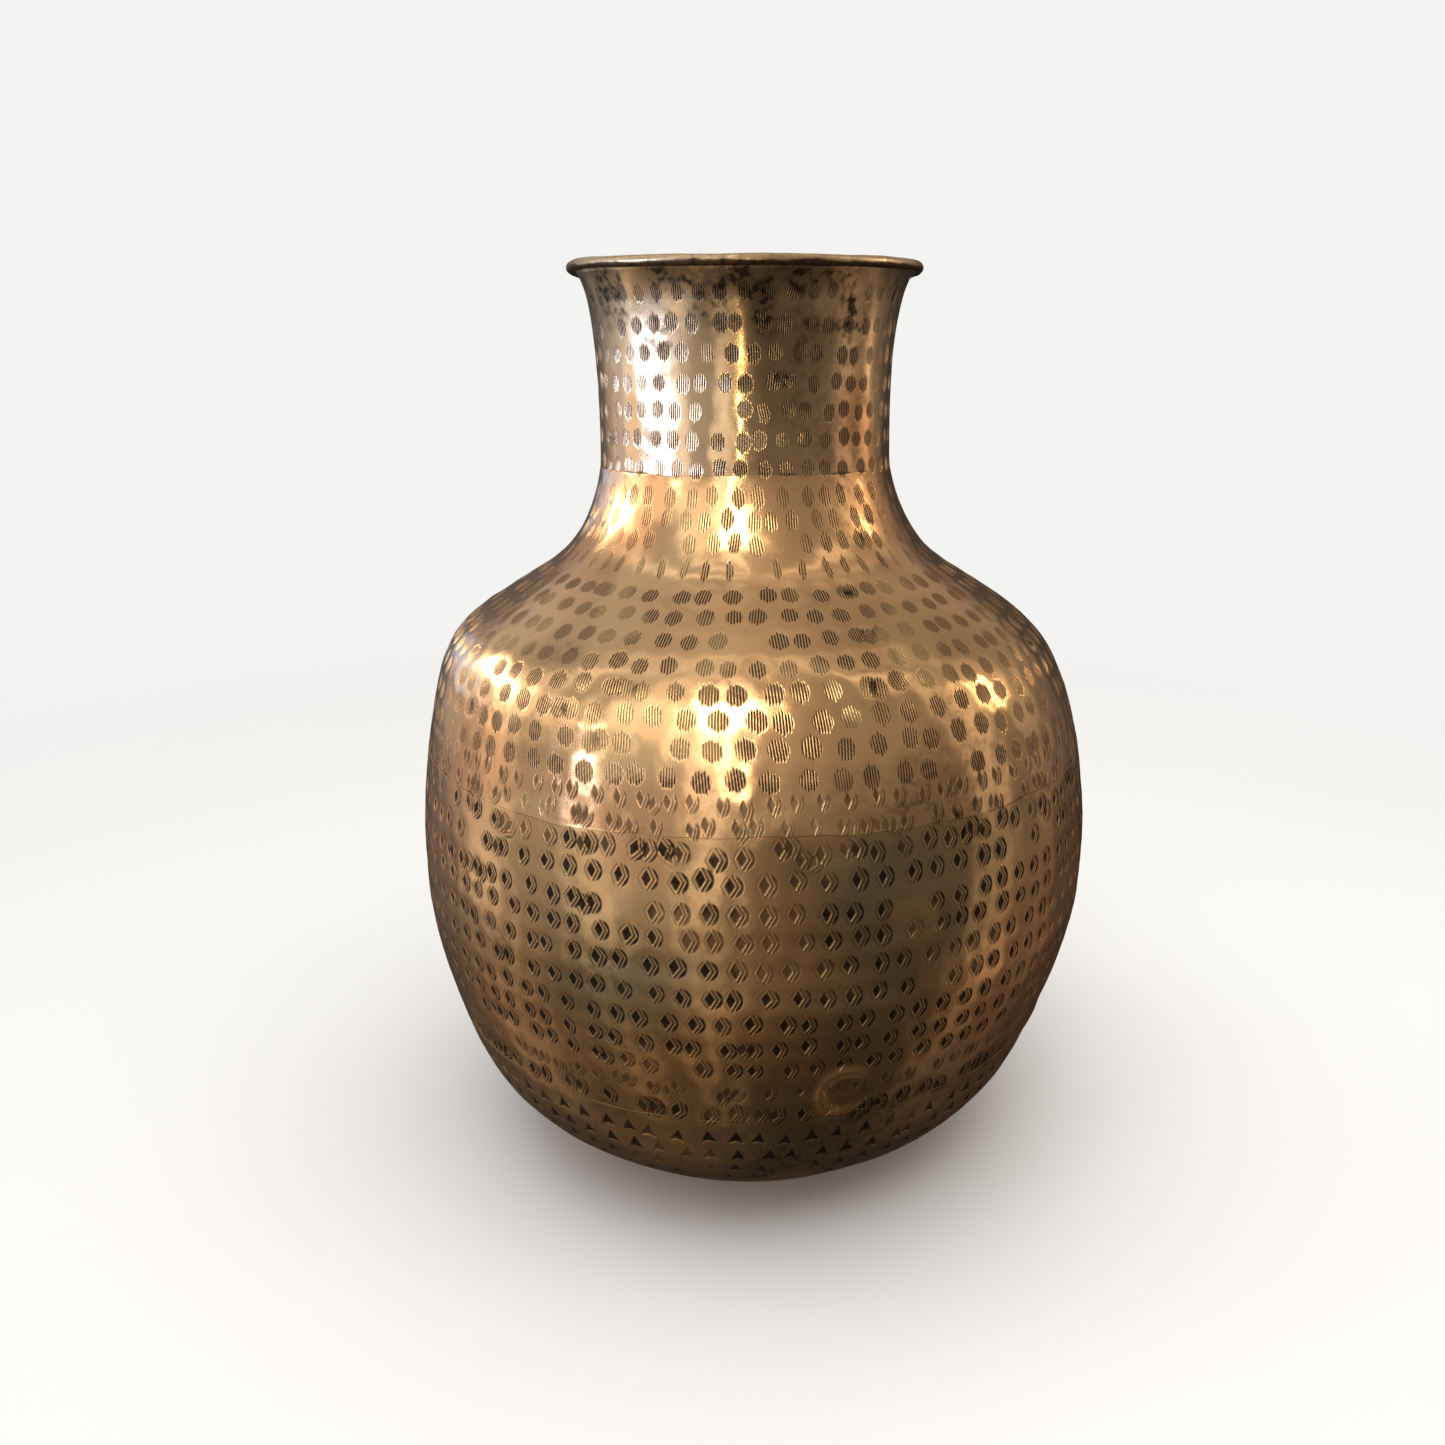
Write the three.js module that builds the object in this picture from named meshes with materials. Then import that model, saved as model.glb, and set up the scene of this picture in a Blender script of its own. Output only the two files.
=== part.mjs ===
import * as THREE from 'three';

// Kalash: a hammered brass water pot, made of four sheet pieces that lap and are brazed together.
// Millimetres, +Z up. The pot's axis is Z and the origin is the centre of the base.

// Driving dimensions
const SHEET = 1.2;
const SIDES = 48;

// Heights of the three seams, each the visible lower edge of the upper sheet
const BASE_SEAM = 88;
const BELLY_SEAM = 227;
const NECK_SEAM = 365;

// Lap joint: the lower sheet steps inward and passes up inside the upper sheet
const LAP = 9;
const STEP_HEIGHT = 3.5;
const STEP_CLEARANCE = 0.4;
const FIT_GAP = 0.2;
const BRAZE = 0.5;
const BEAD_GAP = 0.3;
const BEAD_HEIGHT = 1.6;
const BEAD_WIDTH = 0.9;
const LAP_DEPTH = SHEET + FIT_GAP + BRAZE + FIT_GAP;

// Rim: the lip is rolled outward and down around a wire
const RIM_TOP = 462;
const MOUTH_RADIUS = 85.2;
const WIRE_RADIUS = 1.1;
const WIRE_GAP = 0.2;
const ROLL_INSIDE = WIRE_RADIUS + WIRE_GAP;
const ROLL_OUTSIDE = ROLL_INSIDE + SHEET;
const ROLL_CENTRE = new THREE.Vector2(MOUTH_RADIUS, RIM_TOP - ROLL_OUTSIDE);
const ROLL_START = THREE.MathUtils.degToRad(135);
const ROLL_END = THREE.MathUtils.degToRad(-135);
const ROLL_STEPS = 12;
const WIRE_SIDES = 8;

// Main sizes of the body
const BASE_FLAT = 60;
const BELLY_RADIUS = 179.6;
const BELLY_HEIGHT = 171;
const NECK_RADIUS = 73.4;
const LIP_HEIGHT = 457;

const COLOURS = {
  neck: 0xb98a3c,
  shoulder: 0xb07f38,
  belly: 0x9c7238,
  base: 0x8a6837,
  braze: 0xc9a86a,
  wire: 0x6f6a62,
};

// Outline of the outside, from the edge of the flat base up to the lip, where the roll starts.
// In it, x is the distance from the pot's axis and y is the height.
function makeOutline() {
  const baseEdge = new THREE.Vector2(BASE_FLAT, 0);
  const heel = new THREE.Vector2(128.3, 27);
  const lowerBelly = new THREE.Vector2(163.6, 82);
  const widest = new THREE.Vector2(BELLY_RADIUS, BELLY_HEIGHT);
  const upperBelly = new THREE.Vector2(161.2, 268);
  const shoulder = new THREE.Vector2(120.4, 306);
  const neckFoot = new THREE.Vector2(NECK_RADIUS, NECK_SEAM);
  const lip = new THREE.Vector2(82.2, LIP_HEIGHT);

  const outline = new THREE.CurvePath();
  addCurve(outline, baseEdge, [90, 0], [111, 12.8], heel);
  addCurve(outline, heel, [150.6, 45.3], [157.2, 62.8], lowerBelly);
  addCurve(outline, lowerBelly, [166.7, 91.3], [180.2, 133.4], widest);
  addCurve(outline, widest, [179.6, 200.6], [171.2, 245.4], upperBelly);
  addCurve(outline, upperBelly, [153.8, 284.7], [143.3, 292], shoulder);
  addCurve(outline, shoulder, [102.9, 317.8], [84.7, 321.4], neckFoot);
  addCurve(outline, neckFoot, [72.5, 418], [75, 445], lip);
  return outline;
}

function addCurve(outline, from, control1, control2, to) {
  const first = new THREE.Vector2(...control1);
  const second = new THREE.Vector2(...control2);
  outline.add(new THREE.CubicBezierCurve(from, first, second, to));
}

// Point on a circle around the middle of the rolled rim
function onRoll(radius, angle) {
  const offset = new THREE.Vector2(Math.cos(angle), Math.sin(angle));
  return offset.multiplyScalar(radius).add(ROLL_CENTRE);
}

// How far along the outline it first reaches a height, from 0 at the base to 1 at the lip
function fractionAtHeight(height) {
  let low = 0;
  let high = 1;
  for (let i = 0; i < 40; i += 1) {
    const middle = (low + high) / 2;
    if (outline.getPoint(middle).y < height) {
      low = middle;
    } else {
      high = middle;
    }
  }
  return high;
}

// Points on the outline between two heights, moved into the metal by a depth
function skin(lowHeight, highHeight, steps, depth) {
  const start = fractionAtHeight(lowHeight);
  const end = fractionAtHeight(highHeight);
  const points = [];
  for (let i = 0; i <= steps; i += 1) {
    const fraction = THREE.MathUtils.lerp(start, end, i / steps);
    const point = outline.getPoint(fraction);
    const along = outline.getTangent(fraction);
    points.push(new THREE.Vector2(point.x - along.y * depth, point.y + along.x * depth));
  }
  return points;
}

// Turns a profile into a mesh around Z. The profile runs up the outside and down the inside.
function turned(name, profile, colour, roughness) {
  const geometry = new THREE.LatheGeometry(profile, SIDES);
  geometry.rotateX(Math.PI / 2);
  const material = new THREE.MeshStandardMaterial({ color: colour, roughness, metalness: 1 });
  const mesh = new THREE.Mesh(geometry, material);
  mesh.name = name;
  return mesh;
}

function closedProfile(outside, inside) {
  return [...outside, ...inside.reverse(), outside[0].clone()];
}

// One face of a sheet that ends in a lap under the seam above it
function lappedFace(lowHeight, seamHeight, steps, depth) {
  const plain = skin(lowHeight, seamHeight - STEP_HEIGHT, steps, depth);
  const lapFoot = seamHeight - STEP_CLEARANCE;
  const lap = skin(lapFoot, seamHeight + LAP, 2, depth + LAP_DEPTH);
  return [...plain, ...lap];
}

function neckCollar() {
  const outside = skin(NECK_SEAM, LIP_HEIGHT, 9, 0);
  const inside = skin(NECK_SEAM, LIP_HEIGHT, 9, SHEET);
  for (let i = 0; i <= ROLL_STEPS; i += 1) {
    const angle = THREE.MathUtils.lerp(ROLL_START, ROLL_END, i / ROLL_STEPS);
    outside.push(onRoll(ROLL_INSIDE, angle));
    inside.push(onRoll(ROLL_OUTSIDE, angle));
  }
  return turned('neck_collar', closedProfile(outside, inside), COLOURS.neck, 0.34);
}

function rimWire() {
  const section = [];
  for (let i = 0; i <= WIRE_SIDES; i += 1) {
    section.push(onRoll(WIRE_RADIUS, (2 * Math.PI * (i % WIRE_SIDES)) / WIRE_SIDES));
  }
  return turned('rim_wire', section, COLOURS.wire, 0.6);
}

function shoulderShell() {
  const outside = lappedFace(BELLY_SEAM, NECK_SEAM, 12, 0);
  const inside = lappedFace(BELLY_SEAM, NECK_SEAM, 12, SHEET);
  return turned('shoulder_shell', closedProfile(outside, inside), COLOURS.shoulder, 0.38);
}

function bellyShell() {
  const outside = lappedFace(BASE_SEAM, BELLY_SEAM, 9, 0);
  const inside = lappedFace(BASE_SEAM, BELLY_SEAM, 9, SHEET);
  return turned('belly_shell', closedProfile(outside, inside), COLOURS.belly, 0.42);
}

// The dish closes the bottom, so its profile starts and ends on the axis
function baseDish() {
  const outside = [new THREE.Vector2(0, 0), ...lappedFace(0, BASE_SEAM, 9, 0)];
  const inside = [new THREE.Vector2(0, SHEET), ...lappedFace(0, BASE_SEAM, 9, SHEET)];
  return turned('base_dish', [...outside, ...inside.reverse()], COLOURS.base, 0.46);
}

// Filler in a lap: a thin band between the sheets, with a bead over the lower sheet's top edge
function seamBraze(name, seamHeight) {
  const bandOutside = SHEET + FIT_GAP;
  const bandInside = bandOutside + BRAZE;
  const beadFoot = seamHeight + LAP + BEAD_GAP;
  const beadTop = beadFoot + BEAD_HEIGHT;
  const outside = skin(seamHeight, beadTop, 2, bandOutside);
  const band = skin(seamHeight, beadFoot, 2, bandInside);
  const beadEdge = skin(beadFoot, beadTop, 1, bandInside + BEAD_WIDTH)[0];
  const beadPeak = skin(beadFoot, beadTop, 1, bandInside)[1];
  return turned(name, closedProfile(outside, [...band, beadEdge, beadPeak]), COLOURS.braze, 0.5);
}

const outline = makeOutline();

const kalash = new THREE.Group();
kalash.add(
  baseDish(),
  seamBraze('base_seam_braze', BASE_SEAM),
  bellyShell(),
  seamBraze('belly_seam_braze', BELLY_SEAM),
  shoulderShell(),
  seamBraze('neck_seam_braze', NECK_SEAM),
  neckCollar(),
  rimWire(),
);

export default kalash;
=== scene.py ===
import math

import bpy
import numpy as np
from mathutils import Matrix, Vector

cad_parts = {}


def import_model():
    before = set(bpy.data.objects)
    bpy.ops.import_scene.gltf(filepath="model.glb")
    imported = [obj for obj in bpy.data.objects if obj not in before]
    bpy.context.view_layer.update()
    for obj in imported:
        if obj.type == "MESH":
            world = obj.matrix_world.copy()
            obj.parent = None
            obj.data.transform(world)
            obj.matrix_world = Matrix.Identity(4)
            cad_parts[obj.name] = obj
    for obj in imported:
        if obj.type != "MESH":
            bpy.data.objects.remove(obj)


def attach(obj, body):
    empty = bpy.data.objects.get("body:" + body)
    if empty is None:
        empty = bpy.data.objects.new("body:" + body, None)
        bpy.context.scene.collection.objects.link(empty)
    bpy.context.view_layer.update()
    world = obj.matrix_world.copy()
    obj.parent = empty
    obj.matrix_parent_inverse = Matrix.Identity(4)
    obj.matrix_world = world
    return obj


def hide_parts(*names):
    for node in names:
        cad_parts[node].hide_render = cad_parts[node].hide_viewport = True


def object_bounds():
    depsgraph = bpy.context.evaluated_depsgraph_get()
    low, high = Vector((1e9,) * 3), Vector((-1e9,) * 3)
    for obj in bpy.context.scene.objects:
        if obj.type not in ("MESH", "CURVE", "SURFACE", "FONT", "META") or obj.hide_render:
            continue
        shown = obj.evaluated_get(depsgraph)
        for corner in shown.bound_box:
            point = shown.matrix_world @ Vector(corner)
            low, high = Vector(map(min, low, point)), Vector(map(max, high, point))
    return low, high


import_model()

cad_low, cad_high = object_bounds()

# Hammered brass kalash. Lengths here are millimetres and are turned into metres where a mesh is made.
# A point on the pot has a turn (radians round the axis, 0 at the front, growing to the right) and a
# climb (distance along the outline, 0 at the centre of the base).
MM = 0.001
FULL_TURN = 2 * math.pi

# Height and widest radius of the CAD model
HEIGHT = (cad_high.z - cad_low.z) / MM
WIDEST = (cad_high.x - cad_low.x) / MM / 2

# Sheet metal, laps and seams, as in the CAD model
SHEET = 1.2
LAP = 9.0
LAP_DEPTH = 2.1
BRAZE_DEPTH = (1.32, 1.98)
BASE_SEAM, BELLY_SEAM, NECK_SEAM = 88.0, 227.0, 365.0
LIP_HEIGHT = 457.0

# Half of the gap that shows between two sheets at a seam
SEAM_GAP = 0.07

# Rolled rim, as in the CAD model
ROLL_INSIDE, ROLL_OUTSIDE, WIRE_RADIUS = 1.3, 2.5, 1.1
MOUTH_RADIUS = 85.2

# Grid of the surface: columns round the pot, and distance between rows. Upright ribs need more columns.
COLUMNS = 2880
SHOULDER_COLUMNS = 4320
ROW_STEP = 0.5
RIBBED_ROW_STEP = 0.7
INSIDE_STEP = 4.0

# The hammered surface lies inside the CAD outline where the belly is widest, and a little outside it
# elsewhere. Its bulges keep a least distance from the sides of the CAD box.
BELLY_INSET = 0.8
OUTSET_ELSEWHERE = 0.15
LEAST_INSET = 0.12

# The neck and the base stand a little to the left of the belly
NECK_SHIFT, BASE_SHIFT = -4.0, -2.8


# ---------------------------------------------------------------- outline

def outline_table():
    """Climb, radius, height and outward normal at close steps along the outline, as in the CAD model."""
    base_edge, heel, lower_belly = (60, 0), (128.3, 27), (163.6, 82)
    widest, upper_belly, shoulder = (179.6, 171), (161.2, 268), (120.4, 306)
    neck_foot, lip = (73.4, NECK_SEAM), (82.2, LIP_HEIGHT)
    corners = [base_edge, heel, lower_belly, widest, upper_belly, shoulder, neck_foot, lip]
    pulls = [((90, 0), (111, 12.8)), ((150.6, 45.3), (157.2, 62.8)), ((166.7, 91.3), (180.2, 133.4)),
             ((179.6, 200.6), (171.2, 245.4)), ((153.8, 284.7), (143.3, 292)),
             ((102.9, 317.8), (84.7, 321.4)), ((72.5, 418), (75, 445))]
    curve_steps, flat_steps = 300, 60
    t = np.linspace(0, 1, curve_steps, endpoint=False)[:, None]
    runs = [np.linspace([0, 0], base_edge, flat_steps, endpoint=False)]
    for start, (pull_1, pull_2), end in zip(corners, pulls, corners[1:]):
        a, b, c, d = (np.array(p, float) for p in (start, pull_1, pull_2, end))
        runs.append((1 - t) ** 3 * a + 3 * (1 - t) ** 2 * t * b + 3 * (1 - t) * t ** 2 * c + t ** 3 * d)
    line = np.vstack([*runs, [lip]])
    climb = np.r_[0, np.cumsum(np.hypot(*np.diff(line, axis=0).T))]
    soften_crease(line, climb)
    slope = np.gradient(line, climb, axis=0)
    slope /= np.hypot(*slope.T)[:, None]
    return climb, line[:, 0], line[:, 1], slope[:, 1], -slope[:, 0]


def soften_crease(line, climb):
    """The neck rises from the shoulder in a soft bend, where the CAD outline has a corner."""
    bulge, reach = 0.58, 5.0
    crease = climb[np.argmin(np.abs(line[:, 1] - NECK_SEAM))]
    line[:, 0] += bulge * np.exp(-np.abs(climb - crease) / reach)


CLIMB, RADIUS, LEVEL, NORMAL_OUT, NORMAL_UP = outline_table()
LIP_CLIMB = CLIMB[-1] - 0.5


def climb_at(height):
    """Climb of a height on the outline."""
    return float(np.interp(height, LEVEL[1:], CLIMB[1:]))


def radius_at(climb):
    return float(np.interp(climb, CLIMB, RADIUS))


def smooth(low, high, x):
    """0 up to low, 1 from high on, and a smooth change between them. low may also be the greater."""
    t = np.clip((x - low) / (high - low), 0, 1)
    return t * t * (3 - 2 * t)


def hump(x, middle, width):
    return np.exp(-((x - middle) / width) ** 2)


def sideways(height):
    """How far the hand-made axis strays to the right at a height."""
    belly = 0.5 * hump(height, 165, 60) - 2.3 * hump(height, 284, 32)
    return NECK_SHIFT * smooth(215, 400, height) + BASE_SHIFT * smooth(170, 10, height) + belly


def inset(height):
    """How far the hammered surface lies inside the CAD outline, on average."""
    widest_height, spread = 171, 80
    return BELLY_INSET * hump(height, widest_height, spread) - OUTSET_ELSEWHERE


def rim_dip(turn):
    """The mouth isn't level: it is lowest at the front and the back."""
    return -1.75 - 1.5 * np.cos(2 * turn) + 0.12 * np.sin(5 * turn + 1) + 0.08 * np.sin(11 * turn)


def place(turn, climb, lift):
    """Points at a lift above the outline. turn is one row, and climb and lift are rows by columns."""
    radius = np.interp(climb, CLIMB, RADIUS) + np.interp(climb, CLIMB, NORMAL_OUT) * lift
    height = np.interp(climb, CLIMB, LEVEL) + np.interp(climb, CLIMB, NORMAL_UP) * lift
    height = height + rim_dip(turn) * smooth(434, LIP_HEIGHT, height)
    x = radius * np.sin(turn) + sideways(height)
    y = -radius * np.cos(turn)
    return np.stack([x, y, np.broadcast_to(height, x.shape)], axis=-1)


def turns(columns):
    return np.arange(columns) * (FULL_TURN / columns)


def turned_by(turn, other):
    """How far a turn lies to the right of another, the short way round."""
    return (turn - other + math.pi) % FULL_TURN - math.pi


# ---------------------------------------------------------------- uneven hand work

def spline_weights(position, count, wraps):
    """Cubic B-spline weights of a position on a row of knots."""
    cell = np.floor(position).astype(int)
    f = position - cell
    parts = [(1 - f) ** 3 / 6, (3 * f ** 3 - 6 * f ** 2 + 4) / 6,
             (-3 * f ** 3 + 3 * f ** 2 + 3 * f + 1) / 6, f ** 3 / 6]
    weights = np.zeros((len(position), count))
    rows = np.arange(len(position))
    for offset, part in enumerate(parts):
        knot = cell + offset - 1
        knot = knot % count if wraps else np.clip(knot, 0, count - 1)
        np.add.at(weights, (rows, knot), part)
    return weights


def unevenness(seed, cell):
    """A soft random field over the pot, about 1 strong, whose lumps are about one cell across."""
    common_radius, beyond_lip, knot_strength = 150, 40, 2.1
    around = max(6, round(FULL_TURN * common_radius / cell))
    along = max(4, round((CLIMB[-1] + beyond_lip) / cell) + 3)
    knots = np.random.default_rng(seed).normal(size=(along, around)) * knot_strength

    def field(turn, climb):
        up = spline_weights(climb / cell + 1, along, False)
        round_ = spline_weights(turn * around / FULL_TURN, around, True)
        return up @ knots @ round_.T

    return field


# Each field has its seed and the size of its lumps. The first four move the surface, by these lengths.
BEND_FIELD = unevenness(11, 95)
BEAT_FIELD = unevenness(12, 34)
PLANISH_FIELD = unevenness(13, 15)
RIPPLE_FIELD = unevenness(14, 6)
BEND, BEAT, PLANISH, RIPPLE = 0.6, 0.32, 0.085, 0.012
SEAM_FIELD = unevenness(15, 4)
STAIN_FIELD = unevenness(16, 40)
BLOTCH_FIELD = unevenness(17, 14)
COPPER_FIELD = unevenness(18, 70)
FLECK_FIELD = unevenness(19, 3.5)

# Climb at which the rim, which lies past the outline's end, takes its values from the fields
RIM_CLIMB = 640.0


def along_rim(field, turn):
    return field(turn, np.array([RIM_CLIMB]))[0]


def seam_climb(height, turn):
    """Where a seam runs: near its height, wandering as a hand-cut edge does, least at the neck."""
    wave = 0.9 * np.sin(3 * turn + height) + 0.6 * np.sin(7 * turn + 2 * height)
    wave += 0.35 * np.sin(17 * turn + 0.5 * height) + 0.2 * np.sin(41 * turn + height)
    return climb_at(height) + wave * (0.4 if height == NECK_SEAM else 1)


def held_in(lift, climb, height):
    """Bends the lift back softly where it would take the surface out of the CAD model's box."""
    out = np.maximum(np.interp(climb, CLIMB, NORMAL_OUT), 0.5)
    room = (WIDEST - LEAST_INSET - np.abs(sideways(height)) - np.interp(climb, CLIMB, RADIUS)) / out
    softness = 0.3
    return np.minimum(lift, room) - softness * np.log1p(np.exp(-np.abs(lift - room) / softness))


# ---------------------------------------------------------------- punched marks
# A face takes places to the right of its middle (u) and above it (v), and returns its depth and its dirt.

RIB_DEPTH = 0.14
RIB_TOP_DIRT = 0.08

# Diamond face: half sizes of its round edge and of its inner rhombus, and how far left the rhombus stands
EDGE_U, EDGE_V = 4.7, 5.2
RHOMBUS_U, RHOMBUS_V, RHOMBUS_LEFT = 2.15, 3.9, 0.9
GROOVE_DEPTH, PIT_DEPTH, RIDGE_HEIGHT = 0.25, 0.17, 0.04

ARROW_DEPTH = 0.4


def ribbed_face(u, v, punch):
    """Round face with parallel grooves that run up and down the pot."""
    grooves_along = u / punch["pitch"] + punch["phase"]
    ragged = 1 + 0.1 * np.sin(np.round(grooves_along) * 2.4 + 7 * punch["phase"])
    reach = np.hypot(u / punch["width"], v / (punch["height"] * ragged))
    inside = 1 - smooth(0.95, 1.03, reach)
    groove = smooth(0.26, 0.58, 0.5 + 0.5 * np.cos(FULL_TURN * grooves_along))
    return inside * RIB_DEPTH * groove, inside * (RIB_TOP_DIRT + (1 - RIB_TOP_DIRT) * groove)


def diamond_face(u, v, punch):
    """A pit in a raised rhombus, with more rhombi round it that the round edge cuts off."""
    reach = np.hypot(u / (EDGE_U * punch["width"]), v / (EDGE_V * punch["height"]))
    ring = np.abs(u + RHOMBUS_LEFT) / (RHOMBUS_U * punch["width"]) + np.abs(v) / (RHOMBUS_V * punch["height"])
    pit = 1 - smooth(0.85, 1.02, ring)
    pressed = 0.55 + 0.45 * smooth(-3, 0.5, u)
    second = smooth(1.38, 1.52, ring) * smooth(1.86, 1.72, ring)
    third = smooth(2.12, 2.28, ring)
    groove = np.maximum(pit, (second + third) * pressed * 0.8)
    depth = GROOVE_DEPTH * groove + PIT_DEPTH * pit - RIDGE_HEIGHT * hump(ring, 1.2, 0.12)
    dirt = np.clip(groove * 1.3, 0, 1)
    return (1 - smooth(0.8, 1.0, reach)) * depth, (1 - smooth(0.94, 1.01, reach)) * dirt


def slanted_diamond_face(u, v, punch):
    """The same face struck on its lower right edge, which leaves a small pit and a few slanting strokes."""
    depth, dirt = diamond_face(u * 1.15, v, punch)
    lower_right = smooth(-0.15, 0.15, (0.75 * u - 0.6 * v) / 5 - 0.1)
    pit = 1 - smooth(2.1, 2.9, np.hypot((u + 0.8) * 1.5, v * 0.8))
    keep = np.maximum(lower_right, pit)
    return depth * keep * 0.7, dirt * keep * 0.75


def arrow_face(u, v, punch):
    """A solid arrowhead that points up, notched below."""
    side = np.abs(u) / punch["width"]
    rise = v / punch["height"]
    top = 1 - 1.9 * side
    under = -0.62 - 0.3 * side
    inside = smooth(-0.06, 0.14, top - rise) * smooth(-0.08, 0.12, rise - under) * smooth(1.04, 0.92, side)
    return ARROW_DEPTH * inside, inside


FACES = {"ribs": ribbed_face, "diamonds": diamond_face, "slanted": slanted_diamond_face,
         "arrows": arrow_face}

# How far round a blow the grid is searched for points that its face marks, and that it dents
FACE_REACH = 6.4
DENT_REACH = 15.0

# A dent is flat as far as its first radius and ends at its second. It is shallower on the neck.
DENT_RADII = (3.2, 10.0)
NECK_DENT, BODY_DENT = 0.09, 0.2

# Distance between grooves of a ribbed face, on the neck and on the shoulder
NECK_GROOVES, SHOULDER_GROOVES = 1.06, 1.24

# Rows beside the seams, which were struck in a hurry and often twice
MESSY_ROWS = (231.5, 220.5, 105.4, 91.4)

# Hand work: how far a row drifts from mark to mark, how far a mark strays along its row (as a share of
# the distance between marks) and across it, and the share of blows that were left out
ROW_DRIFT = 0.16
SCATTER_ALONG, SCATTER_ACROSS = 0.095, 0.55
MISSED = 0.025


def punch_rows():
    """Rows of marks, each a height, a face, a distance between marks, a strength, and a face's half
    width and half height, in millimetres for ribs and arrows and relative for diamonds."""
    rows = []
    for step in range(6):
        rows.append((368 + 12.6 * step, "ribs", 10.3, 1.0, 3.3, 4.0))
    rows.append((446, "ribs", 10.3, 0.8, 3.1, 4.4))
    for height in (335, 345, 355):
        rows.append((height, "ribs", 10.6, 0.6, 3.1, 5.0))
    rows.append((324.6, "ribs", 11.0, 0.7, 2.0, 5.4))
    for height in (315, 308, 300, 291.5):
        rows.append((height, "ribs", 12.6, 0.95, 4.1, 4.7))
    for height in (283.5, 273, 262, 250):
        rows.append((height, "ribs", 13.8, 1.0, 4.2, 4.8))
    for height in (241, 231.5):
        rows.append((height, "slanted", 10.8, 0.8, 0.9, 1.0))
    rows.append((220.5, "diamonds", 11.2, 0.75, 1.0, 1.0))
    for height in (209, 195.5, 183, 170, 156.5, 143.5, 130, 118.5):
        rows.append((height, "diamonds", 12.4, 1.0, 1.0, 1.0))
    rows.append((105.4, "slanted", 13.0, 0.75, 1.0, 1.0))
    rows.append((91.4, "diamonds", 11.5, 0.9, 1.0, 1.25))
    for height in (76, 64, 52.5, 42):
        rows.append((height, "arrows", 12.4, 0.95 if height > 60 else 0.6, 3.5, 4.9))
    return rows


def make_punches():
    """Every blow on the pot: rows of marks, with the scatter of hand work, misses and second blows."""
    rng = np.random.default_rng(41)
    punches = []
    for height, face, pitch, strength, width, tall in punch_rows():
        middle = climb_at(height)
        radius = radius_at(middle)
        count = round(FULL_TURN * radius / pitch)
        drift = np.cumsum(rng.normal(size=count)) * ROW_DRIFT
        drift -= np.linspace(0, drift[-1], count)
        start = rng.uniform(0, 1)
        messy = 2.0 if height in MESSY_ROWS else 1.0
        struck_again = 0.3 if height in MESSY_ROWS else 0.05
        grooves = NECK_GROOVES if height > NECK_SEAM else SHOULDER_GROOVES
        along = SCATTER_ALONG * pitch / radius
        for k in range(count):
            punch = {
                "turn": FULL_TURN * (k + start) / count + rng.normal() * along * messy,
                "climb": middle + drift[k] + rng.normal() * SCATTER_ACROSS * messy,
                "face": face,
                "roll": rng.normal() * 0.07 * messy,
                "strength": strength * float(np.clip(rng.normal(1.0, 0.17), 0.4, 1.35)),
                "lean_u": rng.normal(0.06, 0.08),
                "lean_v": rng.normal(-0.02, 0.07),
                "width": width * rng.uniform(0.93, 1.09),
                "height": tall * rng.uniform(0.92, 1.08),
                "pitch": grooves * rng.uniform(0.95, 1.06),
                "phase": rng.uniform(0, 1),
                "dent": rng.uniform(0.5, 1.3),
            }
            if rng.uniform() < MISSED:
                continue
            punches.append(punch)
            if rng.uniform() < struck_again:
                again = dict(punch)
                again["turn"] += rng.choice([-1, 1]) * rng.uniform(3.0, 6.0) / radius
                again["climb"] += rng.normal() * messy
                again["roll"] += rng.normal() * 0.2
                again["strength"] *= 0.75
                punches.append(again)
    return punches


PUNCHES = make_punches()


def near_punch(punch, climb, reach):
    """Cells of a piece of surface near a punch, with their places to the right of it and above it."""
    columns = climb.shape[1]
    step = FULL_TURN / columns
    middle = int(round(punch["turn"] / step)) % columns
    low, high = np.searchsorted(climb[:, middle], (punch["climb"] - reach, punch["climb"] + reach))
    radius = radius_at(punch["climb"])
    half = int(reach / radius / step) + 1
    near = np.arange(middle - half, middle + half + 1)
    cells = np.ix_(np.arange(low, high), near % columns)
    right = turned_by(near * step, punch["turn"]) * radius
    above = climb[cells] - punch["climb"]
    return cells, np.broadcast_to(right, above.shape), above


def dent(punch, climb, lift):
    """The hollow that the blow leaves round the mark."""
    cells, right, above = near_punch(punch, climb, DENT_REACH)
    depth = NECK_DENT if punch["climb"] > climb_at(NECK_SEAM) else BODY_DENT
    sunk = 1 - smooth(*DENT_RADII, np.hypot(right, above))
    lift[cells] -= depth * punch["dent"] * punch["strength"] * sunk


def stamp(punch, climb, lift, dirt):
    """The mark itself, deeper on the side that the punch leant to."""
    cells, right, above = near_punch(punch, climb, FACE_REACH)
    c, s = math.cos(punch["roll"]), math.sin(punch["roll"])
    across, upward = c * right + s * above, c * above - s * right
    depth, soil = FACES[punch["face"]](across, upward, punch)
    lean = np.clip(1 + punch["lean_u"] * across + punch["lean_v"] * upward, 0.15, 1.6)
    lift[cells] -= depth * lean * punch["strength"]
    soil = soil * np.clip(0.45 + lean, 0.72, 1.0) * min(1.0, 0.58 + 0.5 * punch["strength"])
    dirt[cells] = np.maximum(dirt[cells], soil)


def press(climb, lift, dirt, fine):
    """Presses the punches into a piece of surface, rows by columns. fine adds the marks to the dents."""
    low, high = climb.min() - DENT_REACH, climb.max() + DENT_REACH
    for punch in PUNCHES:
        if low < punch["climb"] < high:
            dent(punch, climb, lift)
            if fine:
                stamp(punch, climb, lift, dirt)


# ---------------------------------------------------------------- stains and colour

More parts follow.
